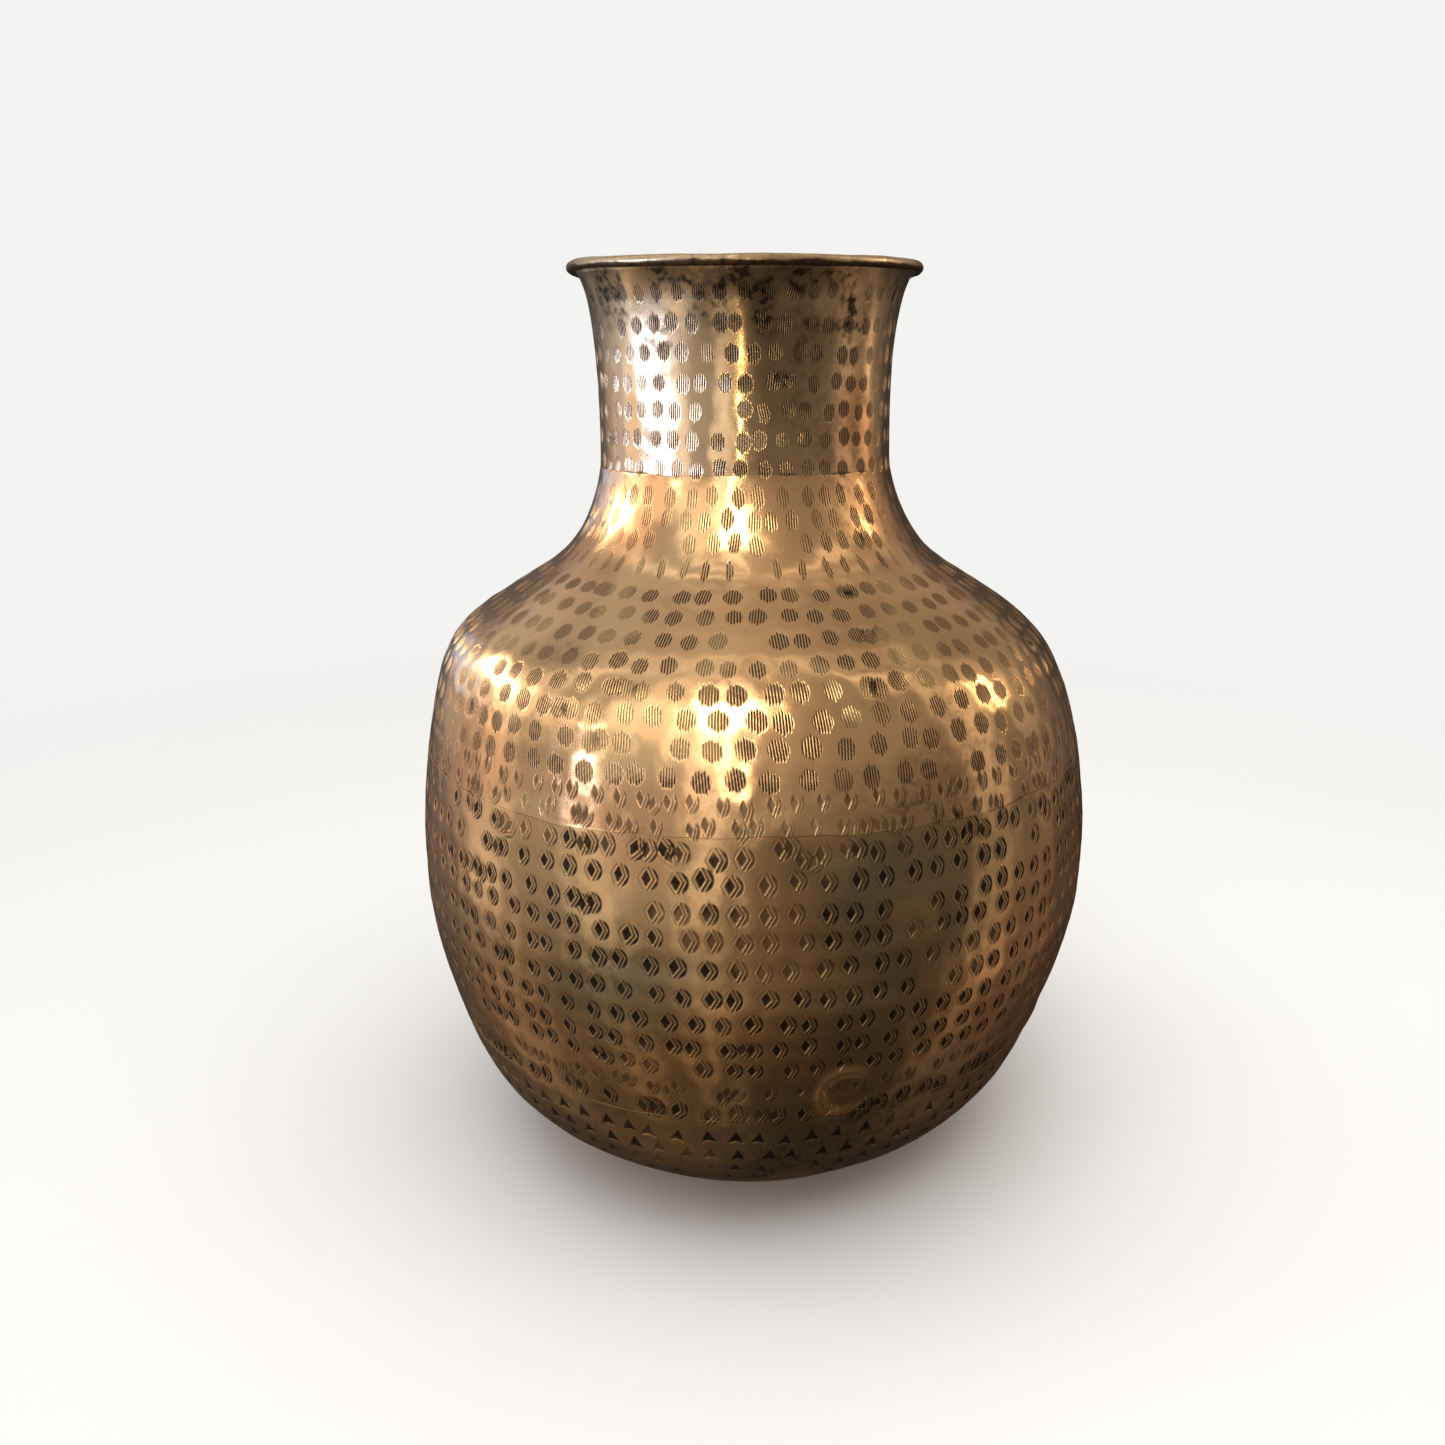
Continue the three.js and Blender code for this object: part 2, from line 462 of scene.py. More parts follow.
# A curved scar low on the right of the front
SCAR = {"turn": 0.245, "height": 103.0, "radius": 10.5, "width": 2.6, "rise": 0.8}

# Soft spots, each a turn, a height, a radius and a strength: black stains, copper colour and olive patina
STAINS = [(0.37, 224, 15, 0.9), (-0.2, 193, 16, 0.45), (-0.33, 222, 20, 0.35), (0.55, 160, 13, 0.5),
          (0.12, 216, 10, 0.5), (-0.42, 330, 16, 0.3), (2.4, 215, 18, 0.8), (3.5, 150, 22, 0.6),
          (4.6, 230, 16, 0.7), (1.4, 300, 20, 0.5), (0.9, 110, 24, 0.4), (5.2, 130, 22, 0.5)]
# The first and the third copper spots, low on the front, are partly copper colour and partly a painted
# reflection of orange light.
COPPERY = [(-0.78, 118, 38, 1.0), (-1.0, 195, 40, 0.7), (0.72, 135, 46, 1.0), (1.0, 190, 34, 0.7),
           (0.02, 140, 26, 0.6), (0.2, 103, 20, 0.6), (-0.85, 246, 32, 0.8), (-0.3, 218, 26, 0.6),
           (-0.7, 345, 22, 0.6), (0.75, 385, 26, 0.7), (-1.1, 395, 24, 0.6), (0.52, 256, 34, 0.6),
           (2.2, 130, 40, 0.8), (3.9, 180, 40, 0.7), (3.0, 290, 30, 0.5)]
OLIVE_SPOTS = [(-0.36, 162, 50, 1.0), (0.38, 190, 36, 1.0), (0.1, 92, 60, 0.8), (-0.45, 302, 38, 0.35),
               (0.3, 300, 42, 0.3), (0.3, 425, 34, 0.4), (-0.2, 440, 30, 0.3), (1.7, 150, 50, 0.8),
               (2.9, 200, 60, 0.8), (4.6, 140, 50, 0.8), (3.6, 310, 40, 0.6)]


def spots(turn, climb, places):
    """Sum of soft round spots, each of which has faded to a quarter of its strength at its radius."""
    total = np.zeros(np.broadcast(turn, climb).shape)
    for spot_turn, height, radius, strength in places:
        middle = climb_at(height)
        across = turned_by(turn, spot_turn) * radius_at(middle)
        total += strength * np.exp(-(across ** 2 + (climb - middle) ** 2) / (2 * (radius * 0.6) ** 2))
    return total


def scar(turn, climb):
    """A raised, open curl of metal, 1 on its crest."""
    middle = climb_at(SCAR["height"])
    across = (turn - SCAR["turn"]) * radius_at(middle)
    above = climb - middle
    ring = np.hypot(across, above * 0.85)
    right_side = smooth(-0.25, 0.35, across / SCAR["radius"] - 0.45)
    level_side = smooth(1.4, 0.2, np.abs(above) / SCAR["radius"])
    return hump(ring, SCAR["radius"], SCAR["width"]) * (1 - right_side * level_side)


def stains_and_low_shade(turn, climb, height, blotch, near_seam):
    """Black tarnish: clouds, spots, and bands beside the seams and under the rim; and painted shade, darker
    towards the base, for the dark floor that the bottom mirrors.
    """
    line = climb.mean(axis=1)
    fleck = FLECK_FIELD(turn, line)
    above_belly_seam = height > BELLY_SEAM
    stain_and_shade = 0.30 * smooth(0.2, 1.8, STAIN_FIELD(turn, line) + 0.5 * blotch)
    stain_and_shade += 0.45 * near_seam * smooth(0.3, 1.6, blotch + 0.4 * fleck)
    stain_and_shade += spots(turn, climb, STAINS) * smooth(-0.9, 0.9, blotch + 0.5 * fleck)
    stain_and_shade += 0.75 * smooth(412, 447, height) * smooth(-2.2, 1.2, blotch)
    stain_and_shade += 0.2 * smooth(266, 228, height) * above_belly_seam
    # Darker towards the base: painted shade, standing in for the dark floor that the bottom mirrors.
    return stain_and_shade + 0.34 * smooth(100, 40, height)


def copper_tint(turn, climb, height):
    """Copper colour where it is positive, and olive patina where it is negative."""
    tint = 0.35 * COPPER_FIELD(turn, climb.mean(axis=1))
    tint += spots(turn, climb, COPPERY) - spots(turn, climb, OLIVE_SPOTS)
    return tint + 0.45 * smooth(285, 235, height) * (height > BELLY_SEAM)


# A point's colour channels. The first holds dirt, and painted shade on the rolled rim; the third holds
# stains, and painted shade low on the base. The fourth is copper colour, or olive where it is negative.
DIRT_AND_SHADE, WEAR, STAIN_AND_SHADE = range(3)

# Below this height the bottom goes over into the flat that the pot stands on
FOOT_HEIGHT = 6


def surface(turn, climb, fine=True):
    """Lift over the outline, and the colour channels. fine adds the marks, the scar and rough seams."""
    line = climb.mean(axis=1)
    height = np.interp(climb, CLIMB, LEVEL)
    lift = BEND * BEND_FIELD(turn, line) + BEAT * BEAT_FIELD(turn, line) - inset(height)
    lift += PLANISH * PLANISH_FIELD(turn, line) + RIPPLE * RIPPLE_FIELD(turn, line)
    lift = held_in(lift, climb, height)
    dirt = np.zeros_like(climb)
    press(climb, lift, dirt, fine)
    wear = smooth(0.3, 1.4, PLANISH_FIELD(turn, line)) * 0.4
    near_seam = sum(hump(climb - seam_climb(h, turn), 0, 5.0) for h in (BASE_SEAM, BELLY_SEAM))
    if fine:
        crest = scar(turn, climb)
        lift += 0.03 * near_seam * SEAM_FIELD(turn, line)
        lift += SCAR["rise"] * crest
        dirt *= 1 - 0.8 * crest
        wear = wear + crest
    stain_and_shade = stains_and_low_shade(turn, climb, height, BLOTCH_FIELD(turn, line), near_seam)
    copper = copper_tint(turn, climb, height)
    flat_foot = np.minimum(lift, -0.02) * smooth(-1, FOOT_HEIGHT, height)
    lift = np.where(height < FOOT_HEIGHT, flat_foot, lift)
    channels = dirt, np.clip(wear, 0, 1), np.clip(stain_and_shade, 0, 1), np.clip(copper, -1, 1)
    return lift, np.stack(channels, axis=-1)


# ---------------------------------------------------------------- meshes

class Skin:
    """A closed surface made of rings of points, from the first ring up the outside and down the inside."""

    def __init__(self, name):
        self.name = name
        self.points = []
        self.colours = []
        self.rings = []
        self.count = 0
        self.triangles = []
        self.quads = []
        self.edges_of_sheet = []

    def add(self, points, colour=None):
        """Adds rows of points, rows by columns by 3, and joins them to the ring before."""
        rows, columns = points.shape[:2]
        if colour is None:
            colour = np.zeros((rows, columns, 4))
        self.points.append(points.reshape(-1, 3))
        self.colours.append(np.broadcast_to(colour, (rows, columns, 4)).reshape(-1, 4))
        index = self.count + np.arange(rows * columns).reshape(rows, columns)
        self.count += rows * columns
        if self.rings:
            self.join(self.rings[-1], index[0])
        low, high = index[:-1], index[1:]
        after = np.roll(low, -1, axis=1), np.roll(high, -1, axis=1)
        self.quads.append(np.stack([low, after[0], after[1], high], axis=-1).reshape(-1, 4))
        self.rings += [index[0], index[-1]]

    def join(self, below, above):
        """Joins two rings. One may have a whole number of times as many points as the other."""
        if len(below) == len(above):
            self.quads.append(np.stack([below, np.roll(below, -1), np.roll(above, -1), above], axis=-1))
            return
        fine, coarse, up = (below, above, True) if len(below) > len(above) else (above, below, False)
        times = len(fine) // len(coarse)
        steps = np.arange(len(fine))
        nearest = coarse[((steps % times >= times // 2) + steps // times) % len(coarse)]
        fans = np.stack([fine, np.roll(fine, -1), nearest], axis=-1)
        turning = fine[times // 2::times]
        bridges = np.stack([turning, np.roll(coarse, -1), coarse], axis=-1)
        flip = slice(None) if up else slice(None, None, -1)
        self.triangles += [fans[:, flip], bridges[:, flip]]

    def cap(self, centre, colour, last):
        """Closes the first or last ring on one point."""
        self.points.append(np.array([centre], float))
        self.colours.append(np.array([colour], float))
        ring = self.rings[-1] if last else self.rings[0]
        tip = np.full(len(ring), self.count)
        self.count += 1
        order = (ring, np.roll(ring, -1), tip) if last else (np.roll(ring, -1), ring, tip)
        self.triangles.append(np.stack(order, axis=-1))

    def close(self):
        self.join(self.rings[-1], self.rings[0])

    def sharpen(self, mesh):
        """Makes the marked rings sharp, so that the cut edge of a sheet doesn't shade like a round one."""
        marked = np.zeros(self.count, bool)
        for ring in self.edges_of_sheet:
            marked[ring] = True
        ends = np.empty(2 * len(mesh.edges), np.int32)
        mesh.edges.foreach_get("vertices", ends)
        sharp = mesh.attributes.new("sharp_edge", "BOOLEAN", "EDGE")
        sharp.data.foreach_set("value", marked[ends].reshape(-1, 2).all(axis=1))

    def fill(self, mesh):
        """Puts the points and faces into an empty mesh."""
        points = np.concatenate(self.points) * MM
        quads = np.concatenate(self.quads)
        triangles = np.concatenate(self.triangles) if self.triangles else np.zeros((0, 3), int)
        corners = np.concatenate([quads.ravel(), triangles.ravel()]).astype(np.int32)
        starts = np.concatenate([np.arange(len(quads)) * 4, len(quads) * 4 + np.arange(len(triangles)) * 3])
        mesh.vertices.add(len(points))
        mesh.vertices.foreach_set("co", points.astype(np.float32).ravel())
        mesh.loops.add(len(corners))
        mesh.loops.foreach_set("vertex_index", corners)
        mesh.polygons.add(len(starts))
        mesh.polygons.foreach_set("loop_start", starts.astype(np.int32))
        mesh.update(calc_edges=True)
        mesh.validate()

    def build(self, material, replaced):
        mesh = bpy.data.meshes.new(self.name)
        self.fill(mesh)
        mesh.shade_smooth()
        self.sharpen(mesh)
        tint = mesh.attributes.new("tint", "FLOAT_COLOR", "POINT")
        tint.data.foreach_set("color", np.concatenate(self.colours).astype(np.float32).ravel())
        mesh.materials.append(material)
        piece = bpy.data.objects.new(self.name, mesh)
        bpy.context.scene.collection.objects.link(piece)
        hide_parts(replaced)
        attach(piece, "root")
        return piece


# Colour channels of unworked sheet, of a sheet's cut edge and of filler, and dirt of the inside
PLAIN_SHEET = (0.2, 0, 0.5, 0)
CUT_EDGE = (0.9, 0, 0.6, 0)
FILLER_METAL = (0.15, 0.1, 0.2, 0)
INSIDE_DIRT = 0.25


def rows_between(low, high, count):
    """Rows of values from one line round the pot to another."""
    share = np.linspace(0, 1, count)[:, None]
    return low * (1 - share) + high * share


def seam_line(height, above=0.0):
    """Line round the pot along a seam, or some distance above it."""
    return lambda turn: seam_climb(height, turn) + above


def level_line(climb):
    return lambda turn: np.full_like(turn, climb)


def outer_band(skin, low, high, columns, edges=(), step=ROW_STEP):
    """Adds worked surface between two lines. The lines in edges are cut edges of the sheet."""
    turn = turns(columns)
    low, high = low(turn), high(turn)
    count = max(3, int(float((high - low).mean()) / step))
    climb = rows_between(low, high, count)
    lift, colour = surface(turn, climb)
    for edge in edges:
        wear_edge(turn, climb, edge(turn), lift, colour)
    skin.add(place(turn, climb, lift), colour)
    skin.edges_of_sheet += skin.rings[-2:]


def wear_edge(turn, climb, edge, lift, colour):
    """Here and there a cut edge is worn down and holds dirt."""
    away = np.abs(climb - edge)
    worn = smooth(0.0, 1.6, BLOTCH_FIELD(turn, climb.mean(axis=1)))
    lift -= 0.15 * worn * (1 - smooth(0, 0.8, away))
    colour[..., DIRT_AND_SHADE] = np.maximum(colour[..., DIRT_AND_SHADE], 0.75 * worn * (1 - smooth(0.1, 0.9, away)))
    colour[..., WEAR] *= smooth(0, 1, away)


def plain_band(skin, offsets, columns, seam, colour=PLAIN_SHEET):
    """Adds unworked sheet near a seam. offsets are pairs of climb from the seam and depth."""
    turn = turns(columns)
    base = seam_climb(seam, turn)
    climb = np.stack([base + up for up, _ in offsets])
    depth = np.array([[-depth] for _, depth in offsets]) - inset(seam)
    skin.add(place(turn, climb, np.broadcast_to(depth, climb.shape)), np.array(colour))


def inner_band(skin, high, low, columns, step=INSIDE_STEP):
    """Adds the inside of a sheet, from the top down, without marks."""
    turn = turns(columns)
    top, bottom = high(turn), low(turn)
    count = max(3, int(float(np.mean(top - bottom)) / step))
    climb = rows_between(bottom, top, count)
    lift, colour = surface(turn, climb, fine=False)
    colour[..., DIRT_AND_SHADE] = INSIDE_DIRT
    skin.add(place(turn, climb, lift - SHEET)[::-1], colour[::-1])


# The lower sheet steps inward at a seam, passes up inside the upper one, and turns back at its top edge
LOWER_LAP = ((-0.06, 1.6), (0.5, LAP_DEPTH), (LAP, LAP_DEPTH), (LAP, LAP_DEPTH + SHEET),
             (-1.5, LAP_DEPTH + SHEET))


def lap_edge(skin, seam, columns):
    """The cut lower edge of the upper sheet, from its inner corner out to its outer corner."""
    plain_band(skin, ((SEAM_GAP, SHEET), (SEAM_GAP, 0.5)), columns, seam, CUT_EDGE)


def roll_middle(turn):
    """Radius and height of the middle of the rolled rim."""
    radius = MOUTH_RADIUS - 0.1 + 0.1 * along_rim(BEAT_FIELD, turn)
    return radius, HEIGHT - ROLL_OUTSIDE - 0.12 + rim_dip(turn)


def round_rim_points(turn, radius, angle):
    """Points at a distance and an angle from the middle of the rolled rim."""
    middle_r, middle_z = roll_middle(turn)
    r = middle_r + radius * np.cos(angle)
    z = middle_z + radius * np.sin(angle)
    return np.stack([r * np.sin(turn) + sideways(z), -r * np.cos(turn), z], axis=-1)


def roll_rows(skin, turn, start, end, count, radius, dirt):
    """Adds an arc of the rolled rim round the whole mouth, with tarnish on it and a darker underside, partly
    dirt and partly painted shade.
    """
    angle = rows_between(start, end, count)
    points = round_rim_points(turn, radius, angle)
    dirt_and_shade_edge = 0.14 * along_rim(BLOTCH_FIELD, turn) + 0.05 * along_rim(FLECK_FIELD, turn)
    # Darker underside of the roll: partly dirt, partly painted shade.
    under = smooth(0.1, -0.35, np.sin(angle) + dirt_and_shade_edge)
    tarnish = 0.46 + 0.3 * smooth(-0.5, 1.5, along_rim(STAIN_FIELD, turn))
    colour = np.zeros(points.shape[:2] + (4,))
    colour[..., DIRT_AND_SHADE] = np.maximum(dirt, 0.85 * under)
    colour[..., WEAR] = (1 - dirt) * (1 - under) * 0.8
    colour[..., STAIN_AND_SHADE] = tarnish * (1 - dirt)
    skin.add(points, colour)


def neck_collar(material):
    """The neck, with its lip rolled out and down over the wire. The cut end of the roll is ragged."""
    skin = Skin("neck_collar_skin")
    foot = seam_line(NECK_SEAM, SEAM_GAP)
    lap_edge(skin, NECK_SEAM, COLUMNS)
    outer_band(skin, foot, level_line(LIP_CLIMB), COLUMNS, (foot,), RIBBED_ROW_STEP)
    turn = turns(COLUMNS)
    dents = along_rim(PLANISH_FIELD, turn)
    lip_end = np.full_like(turn, math.radians(135))
    cut_end = np.radians(-122 - 8 * np.clip(dents, -1.6, 1.6))
    outside = ROLL_OUTSIDE - 0.1 + 0.06 * dents + 0.03 * along_rim(RIPPLE_FIELD, turn)
    # The inside of the curl is coloured fully dark: painted shade.
    roll_rows(skin, turn, lip_end, cut_end, 8, ROLL_INSIDE, dirt=1.0)
    roll_rows(skin, turn, cut_end, lip_end, 30, outside, dirt=0.0)
    inner_band(skin, level_line(LIP_CLIMB), level_line(climb_at(NECK_SEAM) + 2), COLUMNS, 1.6)
    skin.close()
    return skin.build(material, "neck_collar")


def shoulder_shell(material):
    """The shoulder, with half as many columns where it has grown narrow."""
    skin = Skin("shoulder_shell_skin")
    narrow = climb_at(317)
    foot, top = seam_line(BELLY_SEAM, SEAM_GAP), seam_line(NECK_SEAM, -SEAM_GAP)
    half_columns = SHOULDER_COLUMNS // 2
    lap_edge(skin, BELLY_SEAM, SHOULDER_COLUMNS)
    outer_band(skin, foot, level_line(narrow), SHOULDER_COLUMNS, (foot,), RIBBED_ROW_STEP)
    outer_band(skin, level_line(narrow + RIBBED_ROW_STEP), top, half_columns, (top,), RIBBED_ROW_STEP)
    plain_band(skin, LOWER_LAP, half_columns, NECK_SEAM)
    inner_band(skin, seam_line(NECK_SEAM, -5), seam_line(BELLY_SEAM, 3), SHOULDER_COLUMNS // 6)
    skin.close()
    return skin.build(material, "shoulder_shell")


def belly_shell(material):
    skin = Skin("belly_shell_skin")
    foot, top = seam_line(BASE_SEAM, SEAM_GAP), seam_line(BELLY_SEAM, -SEAM_GAP)
    lap_edge(skin, BASE_SEAM, COLUMNS)
    outer_band(skin, foot, top, COLUMNS, (foot, top))
    plain_band(skin, LOWER_LAP, COLUMNS, BELLY_SEAM)
    inner_band(skin, seam_line(BELLY_SEAM, -5), seam_line(BASE_SEAM, 3), COLUMNS // 6)
    skin.close()
    return skin.build(material, "belly_shell")


def base_dish(material):
    """The dish, with fewer columns towards the middle of the foot, where the circles are short."""
    skin = Skin("base_dish_skin")
    middle, curve_start, arrows_start = 8.0, climb_at(4), climb_at(44)
    top = seam_line(BASE_SEAM, -SEAM_GAP)
    outer_band(skin, level_line(middle), level_line(curve_start), COLUMNS // 4)
    outer_band(skin, level_line(curve_start + ROW_STEP), level_line(arrows_start), COLUMNS // 2)
    outer_band(skin, level_line(arrows_start + ROW_STEP), top, COLUMNS, (top,))
    plain_band(skin, LOWER_LAP, COLUMNS, BASE_SEAM)
    inner_band(skin, seam_line(BASE_SEAM, -5), level_line(middle), COLUMNS // 6)
    raised = 0.1
    skin.cap((BASE_SHIFT, 0, raised), PLAIN_SHEET, last=False)
    skin.cap((BASE_SHIFT, 0, raised + SHEET), PLAIN_SHEET, last=True)
    return skin.build(material, "base_dish")


def braze_ring(name, seam, material):
    """Filler metal: it shows in the gap between the sheets and fills the lap behind, up to a bead inside.
    The points of its section are climbs from the seam and depths."""
    skin = Skin(name + "_fill")
    turn = turns(COLUMNS // 4)
    base = seam_climb(seam, turn)
    lumps = SEAM_FIELD(turn, np.array([climb_at(seam)]))[0]
    low, high = BRAZE_DEPTH
    in_gap = [(-0.02, 1.5), (-0.05, 0.12 - 0.04 * lumps), (0.05, 0.1 - 0.04 * lumps), (0.055, 1.28)]
    in_lap = [(0.5, low), (LAP + 0.3, low)]
    bead = [(LAP + 2.4 + 0.2 * lumps, low), (LAP + 1.6, 2.5 + 0.1 * lumps), (LAP + 0.3, 3.2 + 0.15 * lumps)]
    section = in_gap + in_lap + bead + [(LAP + 0.2, high), (0.6, high)]
    climb = np.stack([base + up for up, _ in section])
    depth = np.stack([np.broadcast_to(-d, turn.shape) for _, d in section]) - inset(seam)
    skin.add(place(turn, climb, depth), np.array(FILLER_METAL))
    skin.close()
    return skin.build(material, name)


def rim_wire(material):
    skin = Skin("rim_wire_ring")
    columns, sides = 360, 12
    angle = -turns(sides)[:, None]
    skin.add(round_rim_points(turns(columns), WIRE_RADIUS, angle)[::-1])
    skin.close()
    return skin.build(material, "rim_wire")


# ---------------------------------------------------------------- materials

def node(tree, kind, **inputs):
    made = tree.nodes.new(kind)
    for name, value in inputs.items():
        made.inputs[name.replace("_", " ")].default_value = value
    return made


def feed(tree, socket, value):
    """Sets a socket: links it if the value is a socket too, and otherwise stores the value."""
    if isinstance(value, bpy.types.NodeSocket):
        tree.links.new(value, socket)
    else:
        socket.default_value = value


def mix_colour(tree, factor, first, second):
    mix = tree.nodes.new("ShaderNodeMix")
    mix.data_type = "RGBA"
    for socket, value in ((mix.inputs[0], factor), (mix.inputs[6], first), (mix.inputs[7], second)):
        feed(tree, socket, value)
    return mix.outputs[2]


def mix_value(tree, factor, first, second):
    mix = tree.nodes.new("ShaderNodeMix")
    for socket, value in ((mix.inputs[0], factor), (mix.inputs[2], first), (mix.inputs[3], second)):
        feed(tree, socket, value)
    return mix.outputs[0]


def maths(tree, operation, first, second, clamp=False):
    result = tree.nodes.new("ShaderNodeMath")
    result.operation = operation
    result.use_clamp = clamp
    feed(tree, result.inputs[0], first)
    feed(tree, result.inputs[1], second)
    return result.outputs[0]


def times(tree, first, second, clamp=False):
    return maths(tree, "MULTIPLY", first, second, clamp)


def plus(tree, first, second, clamp=False):
    return maths(tree, "ADD", first, second, clamp)


def vector_maths(tree, operation, first):
    result = tree.nodes.new("ShaderNodeVectorMath")
    result.operation = operation
    tree.links.new(first, result.inputs[0])
    return result


def noise(tree, position, scale, detail, low, high):
    """Noise from 0 to 1, stretched so that low goes to 0 and high to 1."""
    texture = node(tree, "ShaderNodeTexNoise", Scale=scale, Detail=detail)
    tree.links.new(position, texture.inputs["Vector"])
    stretch = node(tree, "ShaderNodeMapRange", From_Min=low, From_Max=high)
    tree.links.new(texture.outputs[0], stretch.inputs["Value"])
    return stretch.outputs[0]


def ramp(tree, value, between, levels):
    """Smooth change from the first to the second level as the value goes between two limits."""
    change = node(tree, "ShaderNodeMapRange", From_Min=between[0], From_Max=between[1],
                  To_Min=levels[0], To_Max=levels[1])
    change.interpolation_type = "SMOOTHSTEP"
    tree.links.new(value, change.inputs["Value"])
    return change.outputs[0]


# Colours of tarnish and of groove dirt; they also colour the painted shade on the rolled rim and low on the
# base.
TARNISH_AND_SHADE = (0.045, 0.032, 0.02, 1)
GROOVE_DIRT_AND_SHADE = (0.024, 0.016, 0.011, 1)

# Depth of the pitting, in metres
PITTING = 0.0003
ROUGHEST = 0.85


def brass(name, gold, copper, patina, roughness):
    """Worn, patinated brass in linear colours, tinted by the colour channels of the surface's points."""
    material = bpy.data.materials.new(name)
    material.use_nodes = True
    tree = material.node_tree
    shader = tree.nodes["Principled BSDF"]
    shader.inputs["Metallic"].default_value = 1.0
    position = tree.nodes.new("ShaderNodeTexCoord").outputs["Object"]
    tint = tree.nodes.new("ShaderNodeAttribute")
    tint.attribute_name = "tint"
    split = tree.nodes.new("ShaderNodeSeparateColor")
    tree.links.new(tint.outputs["Color"], split.inputs[0])
    dirt, wear, stain_and_shade = split.outputs
    copper_or_olive = tint.outputs["Alpha"]

    # Clouds of about 45 mm, flecks of 4 mm and grain of 1 mm
    cloud = noise(tree, position, 22, 5, 0.38, 0.66)
    fleck = noise(tree, position, 260, 4, 0.45, 0.72)
    grain = noise(tree, position, 900, 2, 0.4, 0.7)

    coppered = times(tree, copper_or_olive, plus(tree, cloud, 0.45), clamp=True)
    colour = mix_colour(tree, coppered, (*gold, 1), (*copper, 1))
    olive = times(tree, copper_or_olive, -0.75, clamp=True)
    dulled = plus(tree, times(tree, cloud, 0.28), olive, clamp=True)
    dulled = plus(tree, dulled, times(tree, fleck, 0.12), clamp=True)
    colour = mix_colour(tree, dulled, colour, (*patina, 1))
    # The third channel darkens to tarnish; low on the base it is painted shade.
    tarnish_and_shade = times(tree, stain_and_shade, plus(tree, fleck, 0.7), clamp=True)
    colour = mix_colour(tree, tarnish_and_shade, colour, TARNISH_AND_SHADE)
    # The first channel darkens to groove dirt; on the rolled rim it is painted shade.
    dirt_and_shade_fill = times(tree, dirt, plus(tree, times(tree, grain, 0.1), 0.94), clamp=True)
    colour = mix_colour(tree, dirt_and_shade_fill, colour, GROOVE_DIRT_AND_SHADE)
    worn_bright = tuple(min(1.0, channel * 1.25) for channel in gold)
    colour = mix_colour(tree, times(tree, wear, 0.55), colour, (*worn_bright, 1))
    tree.links.new(colour, shader.inputs["Base Color"])

    rough = plus(tree, times(tree, cloud, 0.1), roughness)
    for part, amount in ((tarnish_and_shade, 0.25), (dirt_and_shade_fill, 0.3), (fleck, 0.05)):
        rough = plus(tree, rough, times(tree, part, amount))
    tree.links.new(maths(tree, "MINIMUM", rough, ROUGHEST), shader.inputs["Roughness"])

    relief = plus(tree, times(tree, fleck, 0.7), times(tree, grain, 0.3))
    pitting = node(tree, "ShaderNodeBump", Strength=0.05, Distance=PITTING)
    tree.links.new(relief, pitting.inputs["Height"])
    tree.links.new(pitting.outputs[0], shader.inputs["Normal"])
    return material


# ---------------------------------------------------------------- stage, lights and camera

BACKDROP = (0.90, 0.895, 0.885)
FLOOR_COLOUR = (0.86, 0.855, 0.845, 1)

# The floor's radius, and the distances between which it fades into the backdrop, in metres
FLOOR_RADIUS = 2.4
FLOOR_FADE = (0.3, 1.5)
FLOOR_SIDES = 96


def plain_floor():
    """Pale floor that fades into the backdrop, so no horizon shows."""
    material = bpy.data.materials.new("pale_floor")
    material.use_nodes = True
    tree = material.node_tree
    shader = tree.nodes["Principled BSDF"]
    shader.inputs["Base Color"].default_value = FLOOR_COLOUR
    shader.inputs["Roughness"].default_value = 0.9
    shader.inputs["Specular IOR Level"].default_value = 0.1
    position = tree.nodes.new("ShaderNodeTexCoord").outputs["Object"]
    away = vector_maths(tree, "LENGTH", position).outputs["Value"]
    tree.links.new(ramp(tree, away, FLOOR_FADE, (1, 0)), shader.inputs["Alpha"])
    return material


def stage_floor():
    """A round, pale floor. The brass mirrors the darker floor of the room instead."""
    mesh = bpy.data.meshes.new("studio_floor")
    rim = [(FLOOR_RADIUS * math.sin(t), -FLOOR_RADIUS * math.cos(t), 0) for t in turns(FLOOR_SIDES)]
    mesh.from_pydata(rim, [], [tuple(range(FLOOR_SIDES))])
    mesh.materials.append(plain_floor())
    floor = bpy.data.objects.new("studio_floor", mesh)
    floor.visible_glossy = False
    bpy.context.scene.collection.objects.link(floor)


# Upright streaks in the room that the lower half of the pot mirrors: azimuth, half width and gain
STREAKS = ((-98, 13, 1.2), (-52, 10, 1.3), (-18, 8, 2.1), (84, 10, 2.2), (113, 9, 0.8))


def streak_gain(tree, x, y, azimuth, half_width, gain):
    """1 away from an azimuth, rising to 1 + gain at it."""
    flat = tree.nodes.new("ShaderNodeCombineXYZ")
    tree.links.new(x, flat.inputs[0])
    tree.links.new(y, flat.inputs[1])
    unit = vector_maths(tree, "NORMALIZE", flat.outputs[0])
    nearness = vector_maths(tree, "DOT_PRODUCT", unit.outputs[0])
    a = math.radians(azimuth)
    nearness.inputs[1].default_value = (math.sin(a), -math.cos(a), 0)
    edge, full = (math.cos(math.radians(half_width * share)) for share in (1, 0.3))
    return ramp(tree, nearness.outputs["Value"], (edge, full), (1, 1 + gain))


